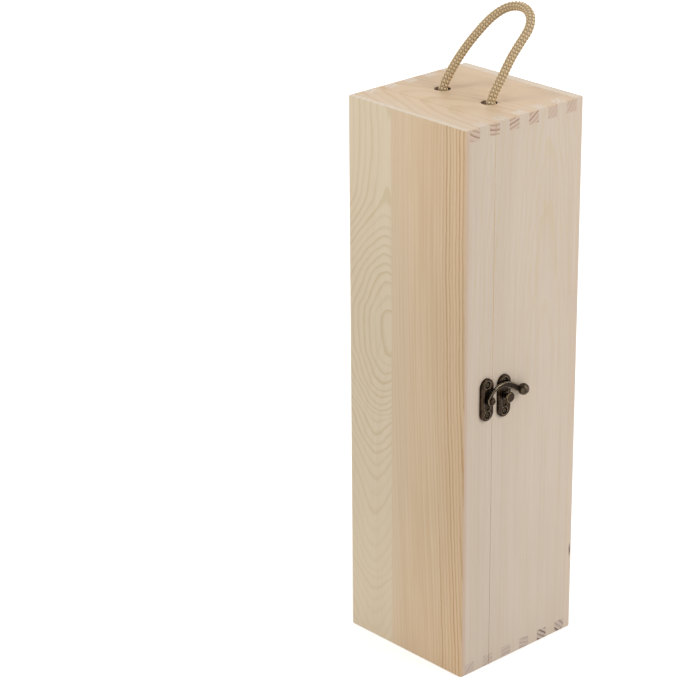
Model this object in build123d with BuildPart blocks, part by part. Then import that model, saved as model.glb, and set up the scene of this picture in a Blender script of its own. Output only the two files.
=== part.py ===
"""A slim pine box for one bottle, standing on end.

The box is made closed, with finger joints at its four corners and a panel
glued on at the front and the back. Then it is sawn apart into a body and a
lid, so the saw line runs through the fingers. Two small hinges and a
swing-arm latch hold the halves together, and a rope through the top board is
the handle.

Millimetres, +Z up. The lid faces -Y, the latch side faces +X, and the origin
is the middle of the underside.
"""

from build123d import *
from math import pi, radians, tan
import os

os.makedirs("parts", exist_ok=True)

# The box
BOX_WIDTH = 98.0  # along X, from the hinge side to the latch side
BOX_DEPTH = 98.0  # along Y, from the lid's face to the back
BOX_HEIGHT = 350.0
BOARD = 7.5  # thickness of the frame's boards
LID_PANEL = 3.5  # thickness of the panel at the front
BACK_PANEL = 6.5  # thickness of the panel at the back
FINGERS = 11  # finger widths across the frame; the end boards have every other one
LID_SEAM = 37.3  # from the hinge side to the glue line of the lid's panel
BACK_SEAM = 58.0  # the same on the back panel
CORNER_ROUND = 2.0  # the upright corners, sanded
EDGE_ROUND = 0.8  # the top and bottom edges
LID_DEPTH = 24.5  # from the lid's face to the saw line
SAW_GAP = 0.2  # left between the closed lid and the body
SAW_CHAMFER = 0.2  # the sawn edges, broken with sandpaper

# The rope and its holes. The route is the rope's middle, from knot to knot: up
# through one hole, over in a loop that leans back, and down through the other.
ROPE = 6.0  # diameter
KNOT_TOP = BOX_HEIGHT - BOARD - 0.1
ROPE_ROUTE = [
    (-18.9, -0.7, KNOT_TOP),
    (-18.9, -0.7, 350.8),
    (-18.7, 8.5, 362.6),
    (-16.9, 17.2, 373.0),
    (-13.8, 25.9, 382.6),
    (-10.6, 33.2, 389.8),
    (-4.4, 39.1, 395.4),
    (5.2, 41.2, 397.2),
    (14.7, 38.6, 394.9),
    (20.4, 32.4, 389.1),
    (20.4, 26.1, 382.8),
    (19.6, 18.1, 374.2),
    (20.4, 9.2, 363.4),
    (20.3, -0.7, 350.8),
    (20.3, -0.7, KNOT_TOP),
]
ROPE_HOLE = 9.5  # diameter
ROPE_HOLE_BREAK = 0.4  # the holes' broken edge
ROPE_HOLES_APART = 38.6
KNOT_WIDE = 17.0
KNOT_TALL = 14.0
KNOT_SHOULDER = 11.0  # the knot's flat top, wider than the hole
ROPE_TAIL = 10.0  # the rope's end below its knot

# The latch, on the +X face. Places are (from the lid's face, height).
LATCH_PLATE_AT = (18.75, 180.3)
CATCH_PLATE_AT = (33.3, 178.9)
PLATE_WIDE = 10.3
PLATE_TALL = 27.0
PLATE_THICK = 1.75
PLATE_ROUND = 0.5  # a plate's outer edge
PLATE_FLOOR = 0.9  # thickness left in the sunken window and in the screws' dishes
PLATE_BOSS = 2.0  # and round the rivet or the stud
WINDOW_WIDE = 4.6  # at its floor
WINDOW_TALL = 13.4
WINDOW_FLARE = 35.0  # degrees, the window's sloping sides
PLATE_SCREWS_APART = 19.4
PIVOT_BOSS_RADIUS = 2.4
STUD_BOSS_RADIUS = 2.4
PIVOT_AT = (20.4, 179.5)
STUD_AT = (34.0, 178.9)
BALL_AT = (46.8, 180.0)
BALL_RADIUS = 3.6
BALL_OUT = 4.0  # the ball's middle, out from the wood
ARM_BACK = 2.3  # the arm's back, out from the wood
ARM_THICK = 1.6
ARM_BEVEL = 0.4
ARM_BOSS_RADIUS = 2.9
ARM_UPPER_EDGE = [
    (17.4, 180.6),
    (19.7, 183.9),
    (23.4, 186.7),
    (28.0, 188.5),
    (33.0, 188.6),
    (38.6, 186.6),
    (45.0, 182.3),
]
ARM_LOWER_EDGE = [
    (20.2, 179.4),
    (21.6, 182.7),
    (24.4, 185.1),
    (28.4, 186.0),
    (32.6, 185.0),
    (38.2, 182.0),
    (45.2, 178.3),
]
RIVET_RADIUS = 1.0
RIVET_PLAY = 0.08  # radial, where the arm turns on the rivet
RIVET_HEAD_RADIUS = 2.1
RIVET_HEAD_OUT = 4.1  # the head's underside, out from the wood
RIVET_HEAD_TALL = 1.0
STUD_NECK_RADIUS = 1.5
STUD_TENON_RADIUS = 1.1
STUD_HEAD_RADIUS = 3.2
STUD_HEAD_OUT = 4.9
STUD_HEAD_TALL = 1.6

# The hinges, on the -X face
HINGE_HEIGHTS = {"lower": 62.0, "upper": 288.0}
HINGE_TALL = 26.0
LEAF_REACH = 10.5  # from the pin's middle to a leaf's edge
LEAF_THICK = 0.8
LEAF_CORNER = 1.5
KNUCKLES = 5  # the body's leaf has the first, third and fifth
KNUCKLE_RADIUS = 1.7
KNUCKLE_GAP = 0.25
HINGE_PLAY = 0.3  # between a knuckle and the wood, or the other leaf
PIN_RADIUS = 0.7
PIN_PLAY = 0.08  # radial, where the lid's leaves turn on the pin
PIN_HEAD_RADIUS = 1.1
PIN_HEAD_TALL = 0.4
LEAF_SCREWS_AT = 6.4  # from the pin's middle
LEAF_SCREWS_APART = 16.0

# The screws
SHANK_RADIUS = 0.8
SHANK_LENGTH = 6.0
PAN_RADIUS = 1.9
PAN_TALL = 0.8
DISH_RADIUS = 2.4  # the plates are cut back round the pan heads
FLUSH_RADIUS = 1.5
FLUSH_TALL = 0.3
FLUSH_SUNK = FLUSH_RADIUS - SHANK_RADIUS  # the cone in the leaf, at 45 degrees
HEAD_SLOPE = 45.0  # degrees, the sides of the heads
CROSS_LONG = 1.9
CROSS_WIDE = 0.45
CROSS_DEEP = 0.45

# Worked out from these
FRAME_FRONT = -BOX_DEPTH / 2 + LID_PANEL
FRAME_BACK = BOX_DEPTH / 2 - BACK_PANEL
FRAME_DEPTH = FRAME_BACK - FRAME_FRONT
FRAME_MIDDLE = (FRAME_FRONT + FRAME_BACK) / 2
FINGER = FRAME_DEPTH / FINGERS
SAW_LINE = -BOX_DEPTH / 2 + LID_DEPTH
INSIDE_WIDTH = BOX_WIDTH - 2 * BOARD
INSIDE_HEIGHT = BOX_HEIGHT - 2 * BOARD
ROPE_HOLES = [(side * ROPE_HOLES_APART / 2, 0, BOX_HEIGHT) for side in (-1, 1)]
PIN_OUT = KNUCKLE_RADIUS + HINGE_PLAY  # the pin's middle, out from the wood
PIN_AT = (-BOX_WIDTH / 2 - PIN_OUT, SAW_LINE)
KNUCKLE_PITCH = HINGE_TALL / KNUCKLES

# Planes on the outside of the two sides, with height as their Y. On the latch
# side X runs back from the lid's face. On the hinge side it runs from the saw
# line towards the lid.
LATCH_FACE = Plane((BOX_WIDTH / 2, -BOX_DEPTH / 2, 0), x_dir=(0, 1, 0), z_dir=(1, 0, 0))
HINGE_FACE = Plane((-BOX_WIDTH / 2, SAW_LINE, 0), x_dir=(0, -1, 0), z_dir=(-1, 0, 0))


def upright_pair(middle, apart):
    """Two places, one above and one below a middle."""
    return [(middle[0], middle[1] + side * apart / 2) for side in (-1, 1)]


def leaf_screws(side):
    """The screws of both hinges' leaves on one side of the saw line: +1 lid, -1 body."""
    lower = upright_pair((side * LEAF_SCREWS_AT, HINGE_HEIGHTS["lower"]), LEAF_SCREWS_APART)
    upper = upright_pair((side * LEAF_SCREWS_AT, HINGE_HEIGHTS["upper"]), LEAF_SCREWS_APART)
    return lower + upper


LATCH_SCREWS = upright_pair(LATCH_PLATE_AT, PLATE_SCREWS_APART)
CATCH_SCREWS = upright_pair(CATCH_PLATE_AT, PLATE_SCREWS_APART)


# ---- The outside of the lid and of the body, sanded round after the glue is dry
with BuildPart() as closed_box:
    Box(BOX_WIDTH, BOX_DEPTH, BOX_HEIGHT, align=(Align.CENTER, Align.CENTER, Align.MIN))
    fillet(closed_box.edges().filter_by(Axis.Z), CORNER_ROUND)
    fillet(closed_box.faces().sort_by(Axis.Z)[0].edges(), EDGE_ROUND)
    fillet(closed_box.faces().sort_by(Axis.Z)[-1].edges(), EDGE_ROUND)

with BuildPart() as lid_form:
    add(closed_box.part)
    split(bisect_by=Plane.XZ.offset(-SAW_LINE + SAW_GAP / 2), keep=Keep.TOP)
    chamfer(lid_form.faces().sort_by(Axis.Y)[-1].edges(), SAW_CHAMFER)

with BuildPart() as body_form:
    add(closed_box.part)
    split(bisect_by=Plane.XZ.offset(-SAW_LINE - SAW_GAP / 2), keep=Keep.BOTTOM)
    chamfer(body_form.faces().sort_by(Axis.Y)[0].edges(), SAW_CHAMFER)

HALVES = {"lid": lid_form.part, "body": body_form.part}
PILOTS = {
    "lid_latch_side": (LATCH_FACE, LATCH_SCREWS),
    "body_latch_side": (LATCH_FACE, CATCH_SCREWS),
    "lid_hinge_side": (HINGE_FACE, leaf_screws(+1)),
    "body_hinge_side": (HINGE_FACE, leaf_screws(-1)),
}


def finger_middles(first):
    """The middles of every other finger across the frame, along Y."""
    return [FRAME_FRONT + (n + 0.5) * FINGER for n in range(first, FINGERS, 2)]


# ---- Top and bottom boards, with the outermost fingers
for half, form in HALVES.items():
    for end, underside in {"top": BOX_HEIGHT - BOARD, "bottom": 0}.items():
        with BuildPart() as end_board:
            with BuildSketch(Plane.XY.offset(underside)):
                with Locations((0, FRAME_MIDDLE)):
                    Rectangle(INSIDE_WIDTH, FRAME_DEPTH)
                with Locations(*[(0, y) for y in finger_middles(0)]):
                    Rectangle(BOX_WIDTH, FINGER)
            extrude(amount=BOARD)
            if (half, end) == ("body", "top"):
                with Locations(*ROPE_HOLES):
                    CounterSinkHole(
                        ROPE_HOLE / 2,
                        ROPE_HOLE / 2 + ROPE_HOLE_BREAK,
                        depth=2 * BOARD,
                        counter_sink_angle=90,
                    )
            add(form, mode=Mode.INTERSECT)
        end_board.part.label = f"{half}_{end}_board"
        export_step(end_board.part, f"parts/{half}_{end}_board.step")

# ---- Side boards, with the fingers between those, and pilot holes for the screws
for half, form in HALVES.items():
    for side, inner_face in {"latch": BOX_WIDTH / 2 - BOARD, "hinge": -BOX_WIDTH / 2}.items():
        name = f"{half}_{side}_side"
        with BuildPart() as side_board:
            with BuildSketch(Plane.YZ.offset(inner_face)):
                with Locations((FRAME_MIDDLE, BOX_HEIGHT / 2)):
                    Rectangle(FRAME_DEPTH, INSIDE_HEIGHT)
                with Locations(*[(y, BOX_HEIGHT / 2) for y in finger_middles(1)]):
                    Rectangle(FINGER, BOX_HEIGHT)
            extrude(amount=BOARD)
            add(form, mode=Mode.INTERSECT)
            face, screws = PILOTS[name]
            with BuildSketch(face):
                with Locations(*screws):
                    Circle(SHANK_RADIUS)
            extrude(amount=-SHANK_LENGTH, mode=Mode.SUBTRACT)
        side_board.part.label = name
        export_step(side_board.part, f"parts/{name}.step")

# ---- Panels, each glued from two strips
PANELS = {
    "lid": (-BOX_DEPTH / 2, LID_PANEL, LID_SEAM),
    "back": (FRAME_BACK, BACK_PANEL, BACK_SEAM),
}
for panel, (front, thick, seam) in PANELS.items():
    form = HALVES["lid" if panel == "lid" else "body"]
    seam_x = -BOX_WIDTH / 2 + seam
    strips = {"hinge": (-BOX_WIDTH / 2, seam_x), "latch": (seam_x, BOX_WIDTH / 2)}
    for strip, (left, right) in strips.items():
        name = f"{panel}_panel_{strip}_strip"
        with BuildPart() as panel_strip:
            with BuildSketch(Plane.XZ.offset(-front)):
                with Locations(((left + right) / 2, BOX_HEIGHT / 2)):
                    Rectangle(right - left, BOX_HEIGHT)
            extrude(amount=-thick)
            add(form, mode=Mode.INTERSECT)
        panel_strip.part.label = name
        export_step(panel_strip.part, f"parts/{name}.step")


# ---- Screws
def screws(face, places, head_at, head_radius, head_tall, sunk=0.0):
    """Cross-head screws in one face: shanks in the wood, heads head_at out from it.

    sunk is the height of the cone under a countersunk head.
    """
    with BuildPart() as group:
        with BuildSketch(face.offset(-SHANK_LENGTH)):
            with Locations(*places):
                Circle(SHANK_RADIUS)
        extrude(amount=SHANK_LENGTH + head_at)
        if sunk:
            with BuildSketch(face.offset(head_at)):
                with Locations(*places):
                    Circle(head_radius)
            extrude(amount=-sunk, taper=HEAD_SLOPE)
        with BuildSketch(face.offset(head_at)):
            with Locations(*places):
                Circle(head_radius)
        extrude(amount=head_tall, taper=HEAD_SLOPE)
        with BuildSketch(face.offset(head_at + head_tall)):
            with Locations(*places):
                Rectangle(CROSS_LONG, CROSS_WIDE)
                Rectangle(CROSS_WIDE, CROSS_LONG)
        extrude(amount=-CROSS_DEEP, mode=Mode.SUBTRACT)
    return group.part


SCREW_GROUPS = {
    "latch_plate_screws": screws(LATCH_FACE, LATCH_SCREWS, PLATE_FLOOR, PAN_RADIUS, PAN_TALL),
    "catch_plate_screws": screws(LATCH_FACE, CATCH_SCREWS, PLATE_FLOOR, PAN_RADIUS, PAN_TALL),
}
for half, side in {"lid": +1, "body": -1}.items():
    SCREW_GROUPS[f"hinge_{half}_screws"] = screws(
        HINGE_FACE, leaf_screws(side), LEAF_THICK, FLUSH_RADIUS, FLUSH_TALL, FLUSH_SUNK
    )
for name, group in SCREW_GROUPS.items():
    group.label = name
    export_step(group, f"parts/{name}.step")


# ---- The latch's two plates
def stamped_plate(middle, boss_at, boss_radius, hole_radius, screw_places):
    """A round-ended plate with a sunken window, dished round its two screws."""
    with BuildPart() as plate:
        with BuildSketch(LATCH_FACE):
            with Locations(middle):
                SlotOverall(PLATE_TALL, PLATE_WIDE, rotation=90)
        extrude(amount=PLATE_THICK)
        fillet(plate.faces().sort_by(Axis.X)[-1].edges(), PLATE_ROUND)
        with BuildSketch(LATCH_FACE.offset(PLATE_FLOOR)):
            with Locations(middle):
                SlotOverall(WINDOW_TALL, WINDOW_WIDE, rotation=90)
        extrude(amount=PLATE_THICK - PLATE_FLOOR, taper=-WINDOW_FLARE, mode=Mode.SUBTRACT)
        with BuildSketch(LATCH_FACE.offset(PLATE_FLOOR)):
            with Locations(*screw_places):
                Circle(DISH_RADIUS)
        extrude(amount=PLATE_THICK, mode=Mode.SUBTRACT)
        with BuildSketch(LATCH_FACE):
            with Locations(boss_at):
                Circle(boss_radius)
        extrude(amount=PLATE_BOSS)
        with BuildSketch(LATCH_FACE):
            with Locations(boss_at):
                Circle(hole_radius)
            with Locations(*screw_places):
                Circle(SHANK_RADIUS)
        extrude(amount=PLATE_BOSS, mode=Mode.SUBTRACT)
    return plate.part


latch_plate = stamped_plate(
    LATCH_PLATE_AT, PIVOT_AT, PIVOT_BOSS_RADIUS, RIVET_RADIUS, LATCH_SCREWS
)
latch_plate.label = "latch_plate"
export_step(latch_plate, "parts/latch_plate.step")

catch_plate = stamped_plate(
    CATCH_PLATE_AT, STUD_AT, STUD_BOSS_RADIUS, STUD_TENON_RADIUS, CATCH_SCREWS
)
catch_plate.label = "catch_plate"
export_step(catch_plate, "parts/catch_plate.step")

# ---- The swing arm: a swan neck that arches over the stud, with a ball to lift it by
with BuildPart() as latch_arm:
    with BuildSketch(LATCH_FACE.offset(ARM_BACK)):
        with BuildLine():
            upper_edge = Spline(*ARM_UPPER_EDGE)
            lower_edge = Spline(*ARM_LOWER_EDGE)
            Line(upper_edge @ 0, lower_edge @ 0)
            Line(upper_edge @ 1, lower_edge @ 1)
        make_face()
        with Locations(PIVOT_AT):
            Circle(ARM_BOSS_RADIUS)
    extrude(amount=ARM_THICK)
    chamfer(latch_arm.faces().sort_by(Axis.X)[-1].edges(), ARM_BEVEL)
    with BuildSketch(LATCH_FACE):
        with Locations(PIVOT_AT):
            Circle(RIVET_RADIUS + RIVET_PLAY)
    extrude(amount=2 * RIVET_HEAD_OUT, mode=Mode.SUBTRACT)
    with Locations(LATCH_FACE.offset(BALL_OUT) * Pos(*BALL_AT)):
        Sphere(BALL_RADIUS)
latch_arm.part.label = "latch_arm"
export_step(latch_arm.part, "parts/latch_arm.step")

# ---- The rivet that the arm turns on
with BuildPart() as latch_pivot_rivet:
    with BuildSketch(LATCH_FACE):
        with Locations(PIVOT_AT):
            Circle(RIVET_RADIUS)
    extrude(amount=RIVET_HEAD_OUT)
    with BuildSketch(LATCH_FACE.offset(RIVET_HEAD_OUT)):
        with Locations(PIVOT_AT):
            Circle(RIVET_HEAD_RADIUS)
    extrude(amount=RIVET_HEAD_TALL)
    fillet(latch_pivot_rivet.faces().sort_by(Axis.X)[-1].edges(), 0.8 * RIVET_HEAD_TALL)
latch_pivot_rivet.part.label = "latch_pivot_rivet"
export_step(latch_pivot_rivet.part, "parts/latch_pivot_rivet.step")

# ---- The stud that the arm drops over: a neck with a wider head
with BuildPart() as catch_stud:
    for radius, start, end in (
        (STUD_TENON_RADIUS, 0, PLATE_BOSS),
        (STUD_NECK_RADIUS, PLATE_BOSS, STUD_HEAD_OUT),
        (STUD_HEAD_RADIUS, STUD_HEAD_OUT, STUD_HEAD_OUT + STUD_HEAD_TALL),
    ):
        with BuildSketch(LATCH_FACE.offset(start)):
            with Locations(STUD_AT):
                Circle(radius)
        extrude(amount=end - start)
    fillet(catch_stud.faces().sort_by(Axis.X)[-1].edges(), 0.6 * STUD_HEAD_TALL)
catch_stud.part.label = "catch_stud"
export_step(catch_stud.part, "parts/catch_stud.step")

# ---- Hinges: two leaves with interleaved knuckles, on a riveted pin
def hinge_leaf(height, side, first_knuckle, hole_radius):
    """A leaf on the lid's side (+1) or the body's side (-1) of the saw line."""
    foot = height - HINGE_TALL / 2
    tongue_end = PIN_OUT + LEAF_CORNER  # from the pin's middle, to well inside the leaf
    tongue_middle = (
        -(BOX_WIDTH + LEAF_THICK) / 2,
        SAW_LINE - side * (HINGE_PLAY + tongue_end) / 2,
    )
    screw_places = [HINGE_FACE.offset(LEAF_THICK) * Pos(*place) for place in leaf_screws(side)]
    with BuildPart() as leaf:
        with BuildSketch(HINGE_FACE) as outline:
            with Locations((side * (PIN_OUT + LEAF_REACH) / 2, height)):
                Rectangle(LEAF_REACH - PIN_OUT, HINGE_TALL)
            fillet(outline.vertices().sort_by(Axis.X)[:: side][-2:], LEAF_CORNER)
        extrude(amount=LEAF_THICK)
        with Locations(*screw_places):
            CounterSinkHole(SHANK_RADIUS, FLUSH_RADIUS, counter_sink_angle=90)
        for n in range(first_knuckle, KNUCKLES, 2):
            with BuildSketch(Plane.XY.offset(foot + n * KNUCKLE_PITCH + KNUCKLE_GAP / 2)):
                with Locations(PIN_AT):
                    Circle(KNUCKLE_RADIUS)
                with Locations(tongue_middle):
                    Rectangle(LEAF_THICK, tongue_end - HINGE_PLAY)
            extrude(amount=KNUCKLE_PITCH - KNUCKLE_GAP)
        with BuildSketch(Plane.XY.offset(foot)):
            with Locations(PIN_AT):
                Circle(hole_radius)
        extrude(amount=HINGE_TALL, mode=Mode.SUBTRACT)
    return leaf.part


for hinge, height in HINGE_HEIGHTS.items():
    leaves = {
        "body": hinge_leaf(height, -1, 0, PIN_RADIUS),
        "lid": hinge_leaf(height, +1, 1, PIN_RADIUS + PIN_PLAY),
    }
    for half, leaf in leaves.items():
        leaf.label = f"{hinge}_hinge_{half}_leaf"
        export_step(leaf, f"parts/{hinge}_hinge_{half}_leaf.step")

    with BuildPart() as hinge_pin:
        with BuildSketch(Plane.XY.offset(height)):
            with Locations(PIN_AT):
                Circle(PIN_RADIUS)
        extrude(amount=HINGE_TALL / 2, both=True)
        for end in (-1, 1):
            with BuildSketch(Plane.XY.offset(height + end * HINGE_TALL / 2)):
                with Locations(PIN_AT):
                    Circle(PIN_HEAD_RADIUS)
            extrude(amount=end * PIN_HEAD_TALL)
    hinge_pin.part.label = f"{hinge}_hinge_pin"
    export_step(hinge_pin.part, f"parts/{hinge}_hinge_pin.step")


# ---- The rope handle, knotted under the top board
def bend_radii(route):
    """The radius of the bend at each inner point: as large as its two runs allow."""
    runs = [Vector(*b) - Vector(*a) for a, b in zip(route, route[1:])]
    return [
        0.45 * min(before.length, after.length) / tan(radians(before.get_angle(after)) / 2)
        for before, after in zip(runs, runs[1:])
    ]


rope_radii = bend_radii(ROPE_ROUTE)
with BuildPart() as rope_handle:
    with BuildLine() as rope_line:
        FilletPolyline(*ROPE_ROUTE, radius=rope_radii)
    with BuildSketch(Plane.XY.offset(KNOT_TOP)):
        with Locations(ROPE_ROUTE[0][:2]):
            Circle(ROPE / 2)
    sweep()
rope_handle.part.label = "rope_handle"
export_step(rope_handle.part, "parts/rope_handle.step")
rope_length = rope_line.wire().length
print("rope radii", [round(r, 1) for r in rope_radii])
print("rope length", round(rope_length, 1))
print("rope volume over section times length", rope_handle.part.volume / (rope_length * pi * ROPE**2 / 4))

for side, (x, y, _) in {"hinge": ROPE_ROUTE[0], "latch": ROPE_ROUTE[-1]}.items():
    with BuildPart() as rope_knot:
        with BuildSketch(Plane((x, y, KNOT_TOP), x_dir=(1, 0, 0), z_dir=(0, -1, 0))):
            with BuildLine():
                Line((0, 0), (KNOT_SHOULDER / 2, 0))
                ThreePointArc(
                    (KNOT_SHOULDER / 2, 0),
                    (KNOT_WIDE / 2, -KNOT_TALL / 2),
                    (ROPE / 2, -KNOT_TALL),
                )
                Polyline(
                    (ROPE / 2, -KNOT_TALL),
                    (ROPE / 2, -KNOT_TALL - ROPE_TAIL),
                    (0, -KNOT_TALL - ROPE_TAIL),
                    (0, 0),
                )
            make_face()
        revolve(axis=Axis((x, y, 0), (0, 0, 1)))
    rope_knot.part.label = f"rope_knot_{side}_side"
    export_step(rope_knot.part, f"parts/rope_knot_{side}_side.step")
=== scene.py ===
# %% [markdown]
# # A pine box for one bottle: wood, a bronze swing latch and a braided rope
#
# The real box is glued up whole from thin pine boards with finger joints, then
# a saw cuts it in two all the way round, and the cut-off slice becomes the lid.
# That one fact decides most of the looks: the grain of each board runs on
# across the saw line, and the fingers show end grain on two faces. The boards,
# the latch and the hinges come ready-made and exact from the packed model. This
# lesson gives them their finishes, and builds the one soft piece, the rope.

# %% The fixed frame
import math

import bpy
import numpy as np
from mathutils import Matrix, Vector


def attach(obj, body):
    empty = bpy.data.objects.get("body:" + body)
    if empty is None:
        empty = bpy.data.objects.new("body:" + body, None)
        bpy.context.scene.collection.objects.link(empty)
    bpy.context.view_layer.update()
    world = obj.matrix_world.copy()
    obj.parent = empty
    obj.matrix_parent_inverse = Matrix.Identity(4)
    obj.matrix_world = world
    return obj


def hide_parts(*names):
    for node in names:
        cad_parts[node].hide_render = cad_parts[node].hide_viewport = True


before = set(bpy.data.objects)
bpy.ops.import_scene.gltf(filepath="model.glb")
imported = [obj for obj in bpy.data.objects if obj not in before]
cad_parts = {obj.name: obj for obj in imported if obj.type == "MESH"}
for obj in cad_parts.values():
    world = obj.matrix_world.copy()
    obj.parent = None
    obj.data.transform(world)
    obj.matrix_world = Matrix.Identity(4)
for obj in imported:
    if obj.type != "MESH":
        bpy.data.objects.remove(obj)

scene = bpy.context.scene
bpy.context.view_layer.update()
MM = 0.001

# %% [markdown]
# ## Where the camera stands
#
# A product photo like this is taken from a metre or two away with a long lens,
# so upright edges stay nearly parallel. We could eyeball the camera, but a box
# is kind to us: its seven visible corners fix the viewpoint. The numbers below
# put the camera 1.6 m away, 48 degrees round to the latch side and 22 degrees
# up, with a tiny roll, and aim it a little to the side of the box.

# %% The camera
CAMERA_AZIMUTH = 47.663
CAMERA_ELEVATION = 22.341
CAMERA_ROLL = -0.560
CAMERA_DISTANCE = 1608.09 * MM
CAMERA_SIDESTEP = -75.131 * MM
CAMERA_LIFT = 18.616 * MM
CAMERA_LENS = 139.37
CAMERA_SENSOR = 36
CAMERA_REACH = 30
BOX_MIDDLE = Vector((0, 0, 0.175))


def camera_axes(azimuth, elevation, roll):
    """The camera's right, up and back directions for a place on the compass."""
    a, e, r = (math.radians(angle) for angle in (azimuth, elevation, roll))
    back = Vector((math.sin(a) * math.cos(e), -math.cos(a) * math.cos(e), math.sin(e)))
    right = Vector((0, 0, 1)).cross(back).normalized()
    up = back.cross(right)
    return (
        math.cos(r) * right + math.sin(r) * up,
        math.cos(r) * up - math.sin(r) * right,
        back,
    )


right, up, back = camera_axes(CAMERA_AZIMUTH, CAMERA_ELEVATION, CAMERA_ROLL)
camera_data = bpy.data.cameras.new("product_camera")
camera_data.lens = CAMERA_LENS
camera_data.sensor_width = CAMERA_SENSOR
camera_data.clip_end = CAMERA_REACH
camera = bpy.data.objects.new("product_camera", camera_data)
scene.collection.objects.link(camera)
camera_place = (
    BOX_MIDDLE + back * CAMERA_DISTANCE + right * CAMERA_SIDESTEP + up * CAMERA_LIFT
)
camera.matrix_world = Matrix.Translation(camera_place) @ Matrix(
    (right, up, back)
).transposed().to_4x4()
scene.camera = camera
print("camera at", [round(v / MM) for v in camera_place], "mm")

# %% [markdown]
# ## The line that the rope follows
#
# A soft rope has no fixed shape, so its line is drawn first and everything else
# follows it. It rises out of one hole, leans back, turns over in a tight bend
# and comes down into the other hole. A NURBS spline of order three suits a
# rope: it stays close to a few given points and never makes a kink. Blender
# works out the smooth line when a curve is turned into a mesh, so we read the
# points back from there.

# %% The rope's route, in millimetres
ROPE_DIAMETER = 6.0
LINE_FINENESS = 24
ROPE_ROUTE = [
    (-18.9, -0.7, 342.4),
    (-18.9, -0.7, 350.8),
    (-18.7, 8.5, 362.6),
    (-16.9, 17.2, 373.0),
    (-13.8, 25.9, 382.6),
    (-10.6, 33.2, 389.8),
    (-4.4, 39.1, 395.4),
    (5.2, 41.2, 397.2),
    (14.7, 38.6, 394.9),
    (20.4, 32.4, 389.1),
    (20.4, 26.1, 382.8),
    (19.6, 18.1, 374.2),
    (20.4, 9.2, 363.4),
    (20.3, -0.7, 350.8),
    (20.3, -0.7, 342.4),
]


def spline_line(name, route):
    """The smooth line of a NURBS spline drawn by these points, in millimetres."""
    curve = bpy.data.curves.new(name, "CURVE")
    curve.dimensions = "3D"
    spline = curve.splines.new("NURBS")
    spline.points.add(len(route) - 1)
    for point, place in zip(spline.points, route):
        point.co = (*place, 1)
    spline.order_u = 3
    spline.use_endpoint_u = True
    spline.resolution_u = LINE_FINENESS
    holder = bpy.data.objects.new(name, curve)
    scene.collection.objects.link(holder)
    bpy.context.view_layer.update()
    ready = holder.evaluated_get(bpy.context.evaluated_depsgraph_get())
    mesh = bpy.data.meshes.new_from_object(ready)
    line = np.array([v.co[:] for v in mesh.vertices])
    bpy.data.objects.remove(holder)
    bpy.data.meshes.remove(mesh)
    return line


rope_line = spline_line("rope_route", ROPE_ROUTE)
rope_length = float(np.linalg.norm(np.diff(rope_line, axis=0), axis=1).sum())
print("rope:", len(rope_line), "points,", round(rope_length, 1), "mm long")

# %% [markdown]
# ## Braiding the rope
#
# The handle is a round braid of sixteen yarns: eight run round a core one way
# and eight the other way, and each one goes over the next yarn that it meets
# and under the one after. A bumpy tube could fake that from afar, but the
# outline of a real braid is knobbly and light gets caught between the yarns. So
# each yarn is a little flattened tube, wound round the rope's line. Its
# distance from the middle goes up and down as a cosine: out where it passes
# over, in where it passes under. The other direction does the opposite at the
# same places. In this rope one direction is slack and stands out as rows of
# fat slanting beads, and the other is pulled tight and lies deep between them.
#
# To wind anything round a line we need a frame that travels along it without
# twisting. Turning the last frame by the smallest angle that fits the next
# piece of line does that. The check at the end prints how far the sideways
# directions are from square to the line, which should be next to nothing.

# %% A frame that travels along a line
def evenly(line, step):
    """The same line with points an even step apart."""
    runs = np.linalg.norm(np.diff(line, axis=0), axis=1)
    along = np.concatenate([[0], np.cumsum(runs)])
    places = np.linspace(0, along[-1], int(along[-1] / step) + 1)
    return places, np.stack([np.interp(places, along, line[:, i]) for i in range(3)], 1)


def unit(vectors):
    return vectors / np.linalg.norm(vectors, axis=1)[:, None]


def travelling_frame(line):
    """Two sideways directions at each point of a line, which never twist."""
    ahead = unit(np.gradient(line, axis=0))
    side = np.zeros_like(line)
    side[0] = np.cross(ahead[0], (0, 1, 0.3))
    side[0] /= np.linalg.norm(side[0])
    for i in range(1, len(line)):
        flat = side[i - 1] - ahead[i] * side[i - 1].dot(ahead[i])
        side[i] = flat / np.linalg.norm(flat)
    return side, np.cross(ahead, side)


check_line = evenly(rope_line, 1.0)[1]
lean = (travelling_frame(check_line)[0] * unit(np.gradient(check_line, axis=0))).sum(1)
print("largest lean off square:", round(float(np.abs(lean).max()), 9))

# %% [markdown]
# ### From yarns to one mesh
#
# A yarn is a tube: rings of corners, one after another, with faces between
# them. Each end is drawn together to a point, so that no tube stands open. The
# UV map gives every corner its place round and along its yarn, which the yarn's
# material uses to draw filaments.

# %% The faces of one tube
def close_ends(rings, along, height):
    """The same tube with each end drawn together in its middle."""
    tips = rings[[0, -1]].mean(axis=1, keepdims=True)
    tips = np.repeat(tips, rings.shape[1], axis=1)
    rings = np.concatenate([tips[:1], rings, tips[1:]])
    along = np.concatenate([along[:1], along, along[-1:]])
    height = np.concatenate([height[:1], height, height[-1:]])
    return rings, along, height


def tube_faces(along, sides):
    """The corner numbers of a tube's faces, and their places in the UV map."""
    i, k = np.meshgrid(np.arange(len(along) - 1), np.arange(sides), indexing="ij")
    after = (k + 1) % sides
    corners = [i * sides + k, i * sides + after]
    quads = np.stack([*corners, corners[1] + sides, corners[0] + sides], -1)
    u = np.stack([k, k + 1, k + 1, k], -1) / sides
    v = np.stack([along[i], along[i], along[i + 1], along[i + 1]], -1)
    return quads.reshape(-1, 4), np.stack([u, v], -1).reshape(-1, 2)


print("a tube of 3 rings of 4 corners:", len(tube_faces(np.arange(3), 4)[0]), "faces")
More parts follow.
